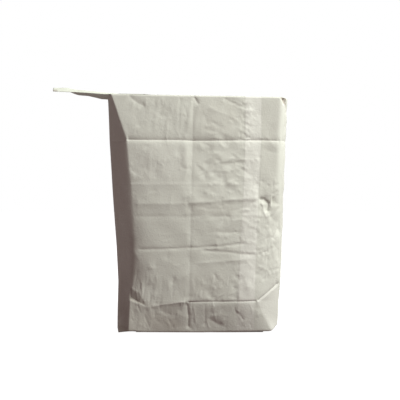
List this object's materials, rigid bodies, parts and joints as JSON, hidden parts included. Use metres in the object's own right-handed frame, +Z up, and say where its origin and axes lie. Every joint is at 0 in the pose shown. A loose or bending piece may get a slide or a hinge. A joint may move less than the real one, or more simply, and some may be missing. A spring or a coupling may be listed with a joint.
{
  "type": "empty cement bag",
  "caption": "Empty pasted paper cement sack opened out into a box shape, standing on its folded bottom, with a flat filling sleeve sticking out at one top corner.",
  "frame": {"origin": "middle of the flat base, on the floor", "axes": "+Z up, the front panel with the lengthwise seam faces -Y, the filling sleeve points towards -X"},
  "size_m": [0.6398, 0.1347, 0.6628],
  "materials": {
    "sack_kraft": "matt greyish beige sack kraft paper, creased, with soft wrinkles",
    "sleeve_kraft": "matt pale kraft paper, pressed flat",
    "patch_kraft": "matt greyish beige kraft paper sheet, pasted down"
  },
  "bodies": {
    "root": {"sack_tube": "sack_kraft", "valve_sleeve": "sleeve_kraft", "top_end_patch": "patch_kraft", "bottom_end_patch": "patch_kraft"}
  },
  "joints": []
}
